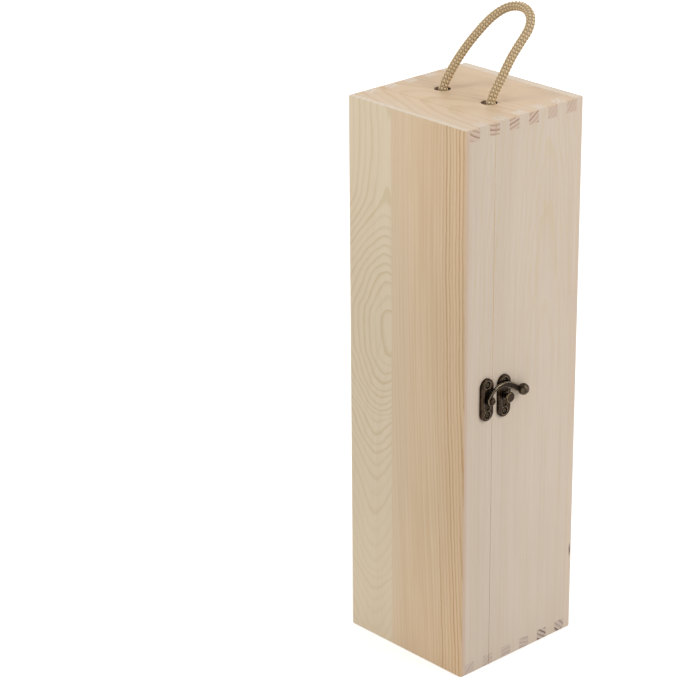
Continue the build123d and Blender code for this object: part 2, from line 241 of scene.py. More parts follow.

# %% [markdown]
# All the yarns of a rope go into one mesh, because they move as one piece.
# Filling it from arrays is much faster than adding corners one by one. Two
# layers of numbers help the colour later: one numbers the yarns, and one says
# how far out a point stands, because the gaps between yarns get painted shade.

# %% Tubes into a mesh
def sweep_tubes(name, tubes):
    """One mesh of many closed tubes. Each tube is its rings of corners, an array
    of (ring, corner, xyz), the distance along it, and the height of each corner."""
    verts, faces, uvs, heights, numbers = [], [], [], [], []
    start = 0
    for number, tube in enumerate(tubes):
        rings, along, height = close_ends(*tube)
        quads, places = tube_faces(along, rings.shape[1])
        faces.append(quads + start)
        uvs.append(places)
        verts.append(rings.reshape(-1, 3) * MM)
        heights.append(height.ravel())
        numbers.append(np.full(height.size, number / len(tubes)))
        start += height.size
    faces = np.concatenate(faces)
    mesh = bpy.data.meshes.new(name)
    mesh.vertices.add(start)
    mesh.vertices.foreach_set("co", np.concatenate(verts).ravel())
    mesh.loops.add(faces.size)
    mesh.loops.foreach_set("vertex_index", faces.ravel())
    mesh.polygons.add(len(faces))
    mesh.polygons.foreach_set("loop_start", np.arange(0, faces.size, 4))
    mesh.update(calc_edges=True)
    mesh.shade_smooth()
    mesh.uv_layers.new(name="yarn").data.foreach_set("uv", np.concatenate(uvs).ravel())
    for title, values in (("yarn_height", heights), ("yarn_number", numbers)):
        layer = mesh.attributes.new(title, "FLOAT", "POINT")
        layer.data.foreach_set("value", np.concatenate(values))
    obj = bpy.data.objects.new(name, mesh)
    scene.collection.objects.link(obj)
    return obj


print("tubes are in mm, a mesh is in m:", round(1 / MM), "to one")

# %% [markdown]
# ### The core, and the melted end
#
# Under the yarns runs a core, which closes the view through the gaps; it lies
# deep, so it takes the dark painted shade of the gaps. A cut end of cord is held
# in a flame until it melts, so that the yarns don't fray: there the core swells
# to a pale plug. The core is smooth, so it needs fewer rings than a yarn, but
# all of them in the plug.

# %% The core
CORE_RADIUS = 0.46
CORE_SIDES = 8
CORE_EVERY = 6
PLUG_SWELL = 0.18
PLUG_LENGTH = 0.8
PLUG_LIGHT = 0.85


def laps(sides):
    """The angles of the corners of one ring."""
    return 2 * math.pi * np.arange(sides) / sides


def core_tube(along, middle, side, other, radius):
    """The core's rings, places and light, with most of its plain rings left out."""
    lap = laps(CORE_SIDES)
    round_about, up_and_down = np.cos(lap)[:, None], np.sin(lap)[:, None]
    spoke = side[:, None] * round_about + other[:, None] * up_and_down
    sealed = np.exp(-(((along[-1] - along) / PLUG_LENGTH) ** 2))
    core_radius = radius * (CORE_RADIUS + PLUG_SWELL * sealed)
    rings = middle[:, None] + spoke * core_radius[:, None, None]
    last = len(along)
    few = np.unique(np.r_[0:last:CORE_EVERY, last - CORE_EVERY : last])
    light = np.repeat(PLUG_LIGHT * sealed[:, None], CORE_SIDES, axis=1)
    return rings[few], along[few], light[few]


print("the core has", CORE_RADIUS, "of the rope's radius")

# %% [markdown]
# ### Over and under
#
# All sizes of a yarn are parts of the rope's radius, so the same recipe serves
# the handle and the tighter knots. Each ring of a yarn is an ellipse, wide
# along the rope's surface and thin outwards, and it turns with the surface.

# %% The braid
YARNS_EACH_WAY = 8
TURN_PER_DIAMETER = 2.93
SLACK_YARNS = {"way": -1, "middle": 0.67, "sway": -0.18, "thick": 0.16, "wide": 0.25}
TIGHT_YARNS = {"way": 1, "middle": 0.63, "sway": 0.11, "thick": 0.13, "wide": 0.22}
LOWEST_YARN = 0.35
MOUTH_TAPER = 2.5


def braid(name, line, diameter, step, sides=8, mouth=None):
    """A round braid along a line. At its first end it may open out to the mouth's
    diameter, and at its last end its core is melted to a plug."""
    along, middle = evenly(line, step)
    side, other = travelling_frame(middle)
    radius = np.full(len(along), diameter / 2)
    if mouth:
        radius += (mouth - diameter) / 2 * np.exp(-((along / MOUTH_TAPER) ** 2))
    turns = along / (diameter * TURN_PER_DIAMETER)
    sway = np.cos(2 * math.pi * turns * YARNS_EACH_WAY)
    lap = laps(sides)
    tubes = []
    for yarns in (SLACK_YARNS, TIGHT_YARNS):
        for k in range(YARNS_EACH_WAY):
            angle = 2 * math.pi * (yarns["way"] * turns + k / YARNS_EACH_WAY)
            out = radius * (yarns["middle"] + yarns["sway"] * sway)
            normal = np.cos(angle)[:, None] * side + np.sin(angle)[:, None] * other
            path = middle + normal * out[:, None]
            run = unit(np.gradient(path, axis=0))
            across = unit(np.cross(run, normal))
            outward = np.cross(across, run)
            wide = np.outer(radius * yarns["wide"], np.cos(lap))[:, :, None]
            thick = np.outer(radius * yarns["thick"], np.sin(lap))[:, :, None]
            rings = path[:, None] + across[:, None] * wide + outward[:, None] * thick
            reach = np.linalg.norm(rings - middle[:, None], axis=2) / radius[:, None]
            tubes.append((rings, along, (reach - LOWEST_YARN) / (1 - LOWEST_YARN)))
    tubes.append(core_tube(along, middle, side, other, radius))
    return sweep_tubes(name, tubes)


rope = braid("rope_braid", rope_line, ROPE_DIAMETER, step=0.2)
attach(rope, "body")
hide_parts("rope_handle")
print("braid:", len(rope.data.polygons), "faces")

# %% [markdown]
# ## The knots under the top board
#
# Each end of the rope is tied in an overhand knot, which is too thick to slip
# back through its hole. You only see the knots with the lid open or from the
# inside, but they are what holds the handle. An overhand knot is one loop with
# the end passed through it, so its line is drawn with a dozen points round that
# loop. The rope is pulled a little thinner in the knot, as tight rope is.

# %% Two overhand knots
KNOT_ROPE = 5.07
KNOT_HEIGHT = 335.3
OVERHAND = [
    (-0.2, 0.1, 7.1),
    (-1.7, 0.3, 3.8),
    (-3.0, -3.9, -1.4),
    (1.1, -6.6, -4.9),
    (7.1, -3.4, -5.3),
    (7.1, 3.4, -2.2),
    (0.5, 5.3, -0.2),
    (-6.3, 3.9, 1.8),
    (-7.4, -2.3, 4.3),
    (-2.4, -6.5, 4.7),
    (2.9, -4.4, 1.8),
    (2.1, -0.3, -3.4),
    (1.0, 0.1, -8.1),
    (0.5, 0.2, -16.9),
]
knots = []
for side_name, (x, y, _), turned in (
    ("hinge_side", ROPE_ROUTE[0], -1),
    ("latch_side", ROPE_ROUTE[-1], 1),
):
    route = [
        (x + turned * u, y + turned * v, KNOT_HEIGHT + w) for u, v, w in OVERHAND
    ]
    knot = braid(
        "rope_knot_braid_" + side_name,
        spline_line("knot_route", route),
        KNOT_ROPE,
        step=0.32,
        sides=6,
        mouth=ROPE_DIAMETER,
    )
    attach(knot, "body")
    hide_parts("rope_knot_" + side_name)
    knots.append(knot)
    corners = np.array([v.co[:] for v in knot.data.vertices]) / MM
    print(side_name, "knot, mm:", corners.min(0).round(1), corners.max(0).round(1))

# %% [markdown]
# ## Colours as a painter mixes them
#
# Paint charts and photo editors give colours as sRGB, while shaders reckon in
# linear light. One small helper turns the first into the second, so that every
# tone below can be written as the eye would pick it.

# %% Tones
def tone(red, green, blue):
    """An sRGB colour, each part from 0 to 255, as linear light for a shader."""
    part = [v / 255 for v in (red, green, blue)]
    return tuple(
        v / 12.92 if v <= 0.04045 else ((v + 0.055) / 1.055) ** 2.4 for v in part
    ) + (1,)


print("a pale pine tone:", [round(v, 3) for v in tone(209, 193, 177)])

# %% [markdown]
# ## Helpers for node trees
#
# A shader made in code is a list of nodes and links. A thin wrapper keeps the
# cells below readable: it makes nodes with their values, does sums on numbers,
# mixes colours, and knows where a point lies in the box, in millimetres.

# %% Node helpers
class Tree:
    """A thin wrapper round a node tree, for short and readable cells."""

    def __init__(self, tree):
        self.tree = tree

    def node(self, kind, inputs=None, **settings):
        made = self.tree.nodes.new(kind)
        for key, value in settings.items():
            setattr(made, key, value)
        for key, value in (inputs or {}).items():
            self.feed(made.inputs[key], value)
        return made

    def feed(self, socket, value):
        if isinstance(value, bpy.types.NodeSocket):
            self.tree.links.new(value, socket)
        elif hasattr(socket.default_value, "__len__") and not hasattr(value, "__len__"):
            socket.default_value = (value,) * len(socket.default_value)
        else:
            socket.default_value = value

    def sum(self, operation, *values, clamp=False):
        inputs = dict(enumerate(values))
        made = self.node("ShaderNodeMath", inputs, operation=operation, use_clamp=clamp)
        return made.outputs[0]

    def times(self, *values):
        total = values[0]
        for value in values[1:]:
            total = self.sum("MULTIPLY", total, value)
        return total

    def smooth(self, value, low, high, to_low=0.0, to_high=1.0):
        """Goes gently from to_low to to_high while the value goes from low to high."""
        inputs = {"Value": value, "From Min": low, "From Max": high}
        inputs |= {"To Min": to_low, "To Max": to_high}
        made = self.node("ShaderNodeMapRange", inputs, interpolation_type="SMOOTHSTEP")
        return made.outputs["Result"]

    def hill(self, value, middle, half_width):
        """One at the middle, gently falling to nought half a width away."""
        away = self.sum("ABSOLUTE", self.sum("SUBTRACT", value, middle))
        return self.smooth(away, 0.0, half_width, 1.0, 0.0)

    def mix(self, share, first, second, blend="MIX"):
        inputs = {0: share, 6: first, 7: second}
        made = self.node("ShaderNodeMix", inputs, data_type="RGBA", blend_type=blend)
        return made.outputs[2]

    def vector(self, x, y, z):
        return self.node("ShaderNodeCombineXYZ", {"X": x, "Y": y, "Z": z}).outputs[0]

    def vector_sum(self, operation, *values, output=0):
        inputs = dict(enumerate(values))
        made = self.node("ShaderNodeVectorMath", inputs, operation=operation)
        return made.outputs[output]

    def millimetres(self):
        """The point's place in the box, in millimetres."""
        place = self.node("ShaderNodeTexCoord").outputs["Object"]
        return self.vector_sum("MULTIPLY", place, (1 / MM,) * 3)

    def noise(self, place, detail=2.0, roughness=0.5, scale=1.0):
        inputs = {"Vector": place, "Scale": scale}
        inputs |= {"Detail": detail, "Roughness": roughness}
        made = self.node("ShaderNodeTexNoise", inputs, noise_dimensions="3D")
        return made.outputs[0]


print("helpers:", ", ".join(name for name in vars(Tree) if name[0] != "_"))

# %% [markdown]
# An effect that several materials share, such as grain or edge wear, becomes a
# node group: it is built once, placed in each material, and fed with that
# material's own values. The sockets of a group are numbers, apart from those
# for colours.

# %% Groups and materials
def new_group(name, inputs, outputs):
    """A node group with named sockets. Inputs are (name, default) pairs. A default
    of four parts makes a colour socket, and so does an output named Colour."""
    group = bpy.data.node_groups.new(name, "ShaderNodeTree")
    for title, default in inputs:
        kind = "NodeSocketColor" if isinstance(default, tuple) else "NodeSocketFloat"
        made = group.interface.new_socket(title, in_out="INPUT", socket_type=kind)
        made.default_value = default
    for title in outputs:
        kind = "NodeSocketColor" if title == "Colour" else "NodeSocketFloat"
        group.interface.new_socket(title, in_out="OUTPUT", socket_type=kind)
    tree = Tree(group)
    entry = tree.node("NodeGroupInput")
    leave = tree.node("NodeGroupOutput")
    return tree, entry.outputs, leave.inputs


def empty_tree(owner):
    """The node tree of a material or of the world, with nothing in it."""
    owner.use_nodes = True
    owner.node_tree.nodes.clear()
    return Tree(owner.node_tree)


def new_material(name):
    """A material with only its Principled shader in place."""
    made = bpy.data.materials.new(name)
    tree = empty_tree(made)
    shader = tree.node("ShaderNodeBsdfPrincipled")
    tree.node("ShaderNodeOutputMaterial", {"Surface": shader.outputs[0]})
    return made, tree, shader.inputs


def place_group(tree, group_name, **inputs):
    """One of our node groups inside a material, with its sockets fed."""
    made = tree.node("ShaderNodeGroup", node_tree=bpy.data.node_groups[group_name])
    for title, value in inputs.items():
        tree.feed(made.inputs[title.replace("_", " ")], value)
    return made.outputs


def bump_normal(tree, height, strength, deep):
    """The normal of a surface with fine relief, deep millimetres from low to high."""
    inputs = {"Height": height, "Strength": strength, "Distance": deep * MM}
    return tree.node("ShaderNodeBump", inputs).outputs[0]


def finish_nodes(finishes):
    """Gives each material to its CAD nodes. The nodes' meshes stay as they are."""
    for material, names in finishes.items():
        for name in names:
            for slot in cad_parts[name].material_slots:
                slot.material = material
    print(sum(len(names) for names in finishes.values()), "nodes finished")


print("CAD nodes to finish:", len(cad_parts))

# %% [markdown]
# ## How pine gets its grain
#
# A tree grows a new ring each year: pale wood in spring, then a thin darker
# band in summer that ends sharply. A board is a flat cut through those rings.
# Cut far from the heart it shows straight lines, and cut near the heart, where
# the trunk swells or bends, it shows nested arches. A picture of grain would
# smear round corners and stop at the fingers, so we grow the rings in space
# and let each board cut through them, as the saw did.
#
# The group below takes a point's place along and across the grain and its
# depth from the heart, all in millimetres, plus "Rise", the rings that the cut
# has crossed along the board. It gives back the dark summer bands, each year's
# with its own strength, and two noises that are stretched along the grain:
# streaks a few millimetres wide, and slow clouds of another tone. A third noise,
# of fine fibres, comes back as what it does to the surface: a little light and
# shade, gloss and relief.

# %% Group: rings and fibres of pine
BAND_END = 0.9
tree, given, result = new_group(
    "pine_rings",
    [
        ("Along", 0.0),
        ("Across", 0.0),
        ("Depth", 0.0),
        ("Rise", 0.0),
        ("Ring Width", 4.0),
        ("Waver", 0.5),
        ("Band Width", 0.35),
        ("Seed", 0.0),
    ],
    ["Band", "Streak", "Cloud", "Shade", "Roughness", "Height"],
)


def grain_noise(across, along, **settings):
    """A noise so many cycles per millimetre fine across the grain and along it."""
    place = tree.vector(
        tree.times(given["Across"], across),
        tree.times(given["Depth"], across),
        tree.sum("MULTIPLY_ADD", given["Along"], along, given["Seed"]),
    )
    return tree.noise(place, **settings)


squares = [tree.times(given[name], given[name]) for name in ("Across", "Depth")]
radius = tree.sum("SQRT", tree.sum("ADD", *squares))
ring = tree.sum("ADD", tree.sum("DIVIDE", radius, given["Ring Width"]), given["Rise"])
for across, along, detail, share in ((0.06, 0.018, 1, 1.0), (0.25, 0.1, 2, 0.5)):
    waver = tree.sum("SUBTRACT", grain_noise(across, along, detail=detail), 0.5)
    ring = tree.sum("MULTIPLY_ADD", tree.times(waver, share), given["Waver"], ring)
part = tree.sum("FRACT", ring)
band_start = tree.sum("SUBTRACT", BAND_END, given["Band Width"])
rising = tree.smooth(part, band_start, BAND_END)
falling = tree.smooth(part, 0.92, 1.0, 1.0, 0.0)
year = {"W": tree.sum("FLOOR", ring)}
weather = tree.node("ShaderNodeTexWhiteNoise", year, noise_dimensions="1D")
strength = tree.smooth(weather.outputs["Value"], 0, 1, 0.4, 1.0)
band = tree.times(rising, falling, strength)
tree.feed(result["Band"], band)
streak = grain_noise(0.55, 0.006, detail=3, roughness=0.65)
tree.feed(result["Streak"], tree.smooth(streak, 0.42, 0.68))
cloud = grain_noise(0.07, 0.01, detail=2)
tree.feed(result["Cloud"], tree.smooth(cloud, 0.3, 0.7))
fibre = grain_noise(3.2, 0.11, detail=3, roughness=0.65)
tree.feed(result["Shade"], tree.sum("MULTIPLY_ADD", fibre, 0.1, 0.95))
tree.feed(result["Roughness"], tree.sum("MULTIPLY_ADD", fibre, 0.15, 0.52))
relief = tree.sum("SUBTRACT", tree.times(fibre, 0.5), tree.times(band, 0.5))
tree.feed(result["Height"], relief)
print("group pine_rings:", len(tree.tree.nodes), "nodes")

# %% [markdown]
# ### End grain, and painted light at the ends of boards
#
# Where a surface faces along the grain, the saw cut across the tubes of the
# wood, and end grain shows. The object's own normal tells which way a surface
# faces, so the mask sits on the fingers by itself. The second group paints
# light on upright boards: they come out a little lighter near their top and
# their foot, as painted light.

# %% Groups: end grain, and painted light at the ends of boards
tree, _, result = new_group("end_grain", [], ["X", "Z"])
normal = tree.node("ShaderNodeTexCoord").outputs["Normal"]
facing = tree.node("ShaderNodeSeparateXYZ", {0: normal}).outputs
for axis in "XZ":
    level = tree.sum("ABSOLUTE", facing[axis])
    tree.feed(result[axis], tree.smooth(level, 0.75, 0.97))

tree, given, result = new_group("end_light_painted", [("Height", 0.0)], ["Shade"])
# Painted light: the board is made lighter near its top and its foot.
top = tree.smooth(given["Height"], 205.0, 350.0, 0.0, 0.105)
foot = tree.smooth(given["Height"], 120.0, 10.0, 0.0, 0.085)
tree.feed(result["Shade"], tree.sum("ADD", tree.sum("ADD", top, foot), 0.985))
print("groups so far:", ", ".join(group.name for group in bpy.data.node_groups))

# %% [markdown]
# ## From rings to boards
#
# Each board gets its own material, because each was cut from its own place in
# a tree. The recipe is the same every time: turn the point's place in the box
# into along, across and depth, send it through the rings, and let a small
# "paint" function choose the colours. End grain gets its own two tones and
# stronger rings.
#
# Some things change along a board in a way that no formula gives: how many
# rings the cut has crossed, or how the heart wanders. A Float Curve node lets
# us draw them through a few points, as they are read off the wood.

# %% Curves drawn through given points, and stains
CURVE_TOP = 40


def drawn_curve(tree, value, points):
    """A curve through given (place in millimetres, level) points."""
    start, reach = points[0][0], points[-1][0] - points[0][0]
    share = tree.sum("MULTIPLY_ADD", value, 1 / reach, -start / reach, clamp=True)
    node = tree.node("ShaderNodeFloatCurve", {"Value": share})
    line = node.mapping.curves[0]
    places = [((at - start) / reach, level / CURVE_TOP) for at, level in points]
    for at, level in places[1:-1]:
        line.points.new(at, level)
    line.points[0].location = places[0]
    line.points[len(line.points) - 1].location = places[-1]
    node.mapping.update()
    return tree.times(node.outputs[0], CURVE_TOP)


def stain(tree, colour, mask, dye, strength=1.0):
    """Lays a tone over the colour where the mask says so."""
    share = tree.sum("MULTIPLY", mask, strength, clamp=True)
    return tree.mix(share, colour, tone(*dye))


def brighten(tree, colour, factor):
    return tree.mix(1.0, colour, tree.vector(factor, factor, factor), "MULTIPLY")


print("curves reach up to", CURVE_TOP)

# %% [markdown]
# The recipe itself comes next. "Grain" says which way the grain runs and which
# axis is across the board. The heart is where the middle of the tree was: the
# further away it is, the straighter the rings look.

# %% The recipe for a board
ORDERS = {"X": ("X", "Y", "Z"), "Z": ("Z", "X", "Y"), "ZY": ("Z", "Y", "X")}


def pine_board(
    name,
    grain,
    heart,
    ring_width,
    paint,
    ends,
    end_fade=None,
    waver=0.5,
    band_width=0.35,
    rise=None,
    wander=None,
    seed=0.0,
):
    """A pine material. Heart is where the middle of the tree was, across the
    board and in depth; ends is the pale and the dark tone of the end grain, and
    end_fade makes its rings fainter on one side of the board."""
    material, tree, shader = new_material(name)
    place = tree.node("ShaderNodeSeparateXYZ", {0: tree.millimetres()}).outputs
    along, across, depth = (place[axis] for axis in ORDERS[grain])
    from_heart = tree.sum("SUBTRACT", across, heart[0])
    if wander:
        from_heart = tree.sum("SUBTRACT", from_heart, drawn_curve(tree, along, wander))
    rings = place_group(
        tree,
        "pine_rings",
        Along=along,
        Across=from_heart,
        Depth=tree.sum("SUBTRACT", depth, heart[1]),
        Rise=drawn_curve(tree, along, rise) if rise else 0.0,
        Ring_Width=ring_width,
        Waver=waver,
        Band_Width=band_width,
        Seed=seed,
    )
    colour = paint(tree, place, rings)
    cut_across = place_group(tree, "end_grain")[grain[0]]
    end_band = rings["Band"]
    if end_fade:
        end_band = tree.times(end_band, tree.smooth(across, *end_fade))
    end_colour = tree.mix(end_band, tone(*ends[0]), tone(*ends[1]))
    colour = tree.mix(cut_across, colour, end_colour)
    tree.feed(shader["Base Color"], brighten(tree, colour, rings["Shade"]))
    tree.feed(shader["Roughness"], rings["Roughness"])
    shader["Specular IOR Level"].default_value = 0.35
    tree.feed(shader["Normal"], bump_normal(tree, rings["Height"], 0.25, 0.06))
    return material


print("ways to lay a board:", ", ".join(ORDERS))

# %% [markdown]
# ### The lid's two strips
#
# The lid's front is glued from a narrow pale strip with bold arches and a wide
# warm strip with straight grain. The arches come from a cut near the heart:
# "rise" counts the rings that the cut crosses from the foot to the top. It
# comes down to its lowest place at a bit over half height, and that is where
# the rings close round an eye. The heart itself wanders from side to side.

# %% The narrow strip with arches
ARCH_RISE = [
    (0, 27.1), (6, 26.33), (18, 25.33), (27, 24.33), (35, 23.33), (42, 22.33),
    (47, 21.33), (56, 20.33), (66, 19.3), (78, 18.3), (90, 17.3), (102, 16.3),
    (112, 15.33), (121, 14.33), (129, 13.33), (134.5, 12.33), (142.5, 11.34),
    (150, 10.36), (154, 9.36), (157, 8.36), (161.5, 7.36), (167, 6.34), (171, 5.3),
    (178, 4.19), (186, 2.98), (193, 1.81), (200, 1.25), (208, 0.97), (218, 1.02),
    (227, 2.05), (237, 3.1), (245.5, 4.15), (251, 5.18), (257.5, 6.22), (263, 7.23),
    (269, 8.23), (274.5, 9.23), (281.5, 10.23), (290, 11.23), (295, 11.52),
    (350, 11.56),
]
ARCH_WANDER = [
    (0, 0), (50, 0), (100, 1), (140, 2), (165, 5), (190, 12), (208, 16),
    (230, 15), (260, 13), (350, 15),
]


def arch_paint(tree, place, rings):
    cloud = tree.times(rings["Cloud"], 0.5)
    colour = tree.mix(cloud, tone(215, 199, 172), tone(210, 192, 164))
    colour = stain(tree, colour, rings["Streak"], (205, 185, 155), 0.25)
    bold = tree.sum(
        "ADD",
        tree.smooth(place["Z"], 105.0, 150.0, 0.28, 0.5),
        tree.smooth(place["Z"], 275.0, 310.0, 0.0, -0.15),
    )
    colour = stain(tree, colour, rings["Band"], (190, 164, 118), bold)
    # Painted light near the top and the foot of the strip.
    painted_end_light = place_group(tree, "end_light_painted", Height=place["Z"])["Shade"]
    return brighten(tree, colour, painted_end_light)


arched = pine_board(
    "pine_arched_strip",
    grain="Z",
    heart=(-28, -39),
    ring_width=4.5,
    paint=arch_paint,
    ends=((222, 206, 186), (214, 194, 170)),
    waver=0.6,
    band_width=0.45,
    rise=ARCH_RISE,
    wander=ARCH_WANDER,
)
print(arched.name, "crosses", ARCH_RISE[0][1], "rings at the foot")

# %% [markdown]
# The wide strip was cut further out. Its rings are close and straight, faint
# towards the glue line and bold near the lid's edge, and they drift to the
# edge on their way down. The strip's own narrow edge, which is part of the
# latch side, is paler and shows no bands.

# %% The wide strip with straight grain
PLAIN_ENDS = ((222, 206, 186), (214, 192, 168))
STRAIGHT_DRIFT = [(0, 10), (60, 7.4), (130, 3.8), (200, 1), (250, 0), (350, 0)]


def straight_paint(tree, place, rings):
    colour = tree.mix(rings["Cloud"], tone(212, 188, 157), tone(208, 182, 149))
    colour = stain(tree, colour, rings["Streak"], (196, 164, 126), 0.5)
    glue_side = tree.smooth(place["X"], -12.0, 12.0, 1.0, 0.0)
    colour = stain(tree, colour, glue_side, (212, 192, 166), 0.5)
    edge_side = tree.smooth(place["X"], 27.0, 45.0)
    colour = stain(tree, colour, edge_side, (210, 180, 143), 0.5)
    # Painted light near the top and the foot of the strip.
    painted_end_light = place_group(tree, "end_light_painted", Height=place["Z"])["Shade"]
    colour = brighten(tree, colour, painted_end_light)
    on_edge = tree.smooth(place["X"], 48.7, 48.95)
    colour = stain(tree, colour, on_edge, (201, 177, 158), 0.85)
    bold = tree.smooth(place["X"], 20.0, 36.0, 0.12, 0.92)
    bold = tree.times(bold, tree.smooth(place["X"], 48.95, 48.7))
    return stain(tree, colour, rings["Band"], (180, 140, 94), bold)


straight = pine_board(
    "pine_straight_strip",
    grain="Z",
    heart=(190, -40),
    ring_width=2.65,
    paint=straight_paint,
    ends=PLAIN_ENDS,
    waver=0.9,
    band_width=0.5,
    wander=STRAIGHT_DRIFT,
    seed=7.0,
)
print(straight.name, "drifts", STRAIGHT_DRIFT[0][1], "mm at the foot")

# %% [markdown]
# ### The top board
#
# The top board lies with its grain from hinge side to latch side, so its
# fingers show end grain on the latch side: the heart was above the board, a
# little to the front, and the rings curve round it. The wood is paler towards
# the front and has soft brown blotches behind. Inside the rope holes it is
# painted dark, as painted shade.

# %% The top board
HOLE_PLACES = (-19.3, 19.3)
TOP_RISE = [(-49, 3.9), (-30, 2.9), (-12, 1.9), (6, 1.0), (26, 0.35), (49, 0)]


def top_paint(tree, place, rings):
    colour = tree.mix(rings["Cloud"], tone(217, 191, 159), tone(213, 185, 150))
    across, along = tree.times(place["X"], 0.045), tree.times(place["Y"], 0.06)
    blotch_place = tree.vector(across, along, 3.0)
    blotch = tree.smooth(tree.noise(blotch_place, detail=2), 0.45, 0.75)
    behind = tree.smooth(place["Y"], -6.0, 14.0)
    colour = stain(tree, colour, tree.times(blotch, behind), (200, 172, 138), 0.9)
    front = tree.smooth(place["Y"], -22.0, -44.0)
    colour = stain(tree, colour, front, (217, 195, 168), 0.8)
    latch_end = tree.smooth(place["X"], 5.0, 45.0)
    colour = stain(tree, colour, latch_end, (218, 196, 172), 0.5)
    speckle = tree.noise(tree.millimetres(), detail=3, scale=0.1)
    speckle = tree.smooth(speckle, 0.48, 0.68)
    colour = stain(tree, colour, speckle, (214, 182, 144), 0.28)
    colour = stain(tree, colour, rings["Band"], (198, 162, 120), 0.42)
    # Painted shade on the walls of the rope holes.
    for x in HOLE_PLACES:
        away = tree.vector(tree.sum("SUBTRACT", place["X"], x), place["Y"], 0.0)
        away = tree.vector_sum("LENGTH", away, output="Value")
        bore_shade = tree.smooth(away, 4.8, 4.95, 1.0, 0.0)
        under_rim_shade = tree.smooth(place["Z"], 349.6, 349.9, 1.0, 0.0)
        colour = stain(tree, colour, tree.times(bore_shade, under_rim_shade), (52, 34, 22), 0.92)
    return colour


top_wood = pine_board(
    "pine_top_board",
    grain="X",
    heart=(-19, 388),
    ring_width=2.7,
    paint=top_paint,
    ends=((205, 181, 162), (154, 122, 100)),
    end_fade=(10.0, 22.0, 1.0, 0.4),
    waver=0.9,
    band_width=0.5,
    rise=TOP_RISE,
)
print(top_wood.name, "has", len(HOLE_PLACES), "dark holes")

# %% [markdown]
# ### The bottom board
#
# The bottom board came from another plank, with its heart below the board. Its
# summer bands are broad and nearly brown where the fingers show end grain, and
# strongest towards the back.

# %% The bottom board
def bottom_paint(tree, place, rings):
    colour = tree.mix(rings["Cloud"], tone(214, 194, 170), tone(209, 186, 160))
    return stain(tree, colour, rings["Band"], (196, 166, 134), 0.35)


bottom_wood = pine_board(
    "pine_bottom_board",
    grain="X",
    heart=(-4, -36),
    ring_width=2.8,
    paint=bottom_paint,
    ends=((202, 184, 170), (96, 72, 56)),
    end_fade=(10.0, 24.0, 0.3, 1.0),
    waver=0.7,
    band_width=0.7,
    seed=3.0,
)
print(bottom_wood.name, "ready")

# %% [markdown]
# ### The side boards
#
# The two upright sides are the plainest: pale wood with faint bands that widen
# upwards. Both halves of a side, on the lid and on the body, share this one
# material, so its grain runs on across the saw line. The chamfers along that
# line are painted a touch lighter, more so higher up: painted light that eases
# the shade in the saw gap. Towards the front the boards are painted a little
# darker, as painted shade.

# %% The side boards
SAW_LINE = -24.5
SIDE_RISE = [(0, 0.6), (100, 1.2), (200, 2.2), (300, 4.2), (350, 5.5)]


def side_paint(tree, place, rings):
    colour = tree.mix(rings["Cloud"], tone(213, 197, 180), tone(210, 193, 175))
    colour = stain(tree, colour, rings["Streak"], (205, 184, 160), 0.5)
    upper = tree.smooth(place["Z"], 130.0, 260.0, 0.1, 0.45)
    colour = stain(tree, colour, rings["Band"], (207, 187, 150), upper)
    # Painted light in the saw gap, and painted shade towards the front.
    saw_gap_light = tree.times(
        tree.smooth(tree.hill(place["Y"], SAW_LINE, 0.5), 0.1, 0.4),
        tree.smooth(place["Z"], 120.0, 230.0, 0.14, 0.37),
    )
    shade = tree.smooth(place["Y"], -30.0, 12.0, 0.955, 1.0)
    return brighten(tree, colour, tree.sum("ADD", shade, saw_gap_light))


side_wood = pine_board(
    "pine_side_boards",
    grain="ZY",
    heart=(20, 38),
    ring_width=3.64,
    paint=side_paint,
    ends=((220, 202, 182), (208, 186, 162)),
    waver=1.7,
    band_width=0.5,
    rise=SIDE_RISE,
    seed=5.0,
)
print(side_wood.name, "ready")

# %% [markdown]
# ### The back panel
#
# The back is glued from two strips of plain, straight pine. Low on its edge, on
# the latch side, the box has taken a knock, and the dent holds dark dirt.

# %% The back panel, and all boards finished
def back_paint(tree, place, rings):
    colour = tree.mix(rings["Cloud"], tone(215, 198, 180), tone(211, 192, 172))
    colour = stain(tree, colour, rings["Streak"], (206, 182, 154), 0.35)
    colour = stain(tree, colour, rings["Band"], (204, 178, 144), 0.4)
    knock = tree.times(
        tree.hill(place["Z"], 54.5, 6.5),
        tree.smooth(place["X"], 48.2, 48.9),
        tree.hill(place["Y"], 46.6, 1.1),
    )
    return stain(tree, colour, knock, (82, 62, 50), 1.0)


back_wood = pine_board(
    "pine_back_panel",
    grain="Z",
    heart=(-60, 96),
    ring_width=4.4,
    paint=back_paint,
    ends=PLAIN_ENDS,
    waver=0.8,
    seed=11.0,
)

finish_nodes(
    {
        arched: ("lid_panel_hinge_strip",),
        straight: ("lid_panel_latch_strip",),
        back_wood: ("back_panel_hinge_strip", "back_panel_latch_strip"),
        top_wood: ("lid_top_board", "body_top_board"),
        bottom_wood: ("lid_bottom_board", "body_bottom_board"),
        side_wood: (
            "lid_latch_side", "body_latch_side", "lid_hinge_side", "body_hinge_side",
        ),
    }
)
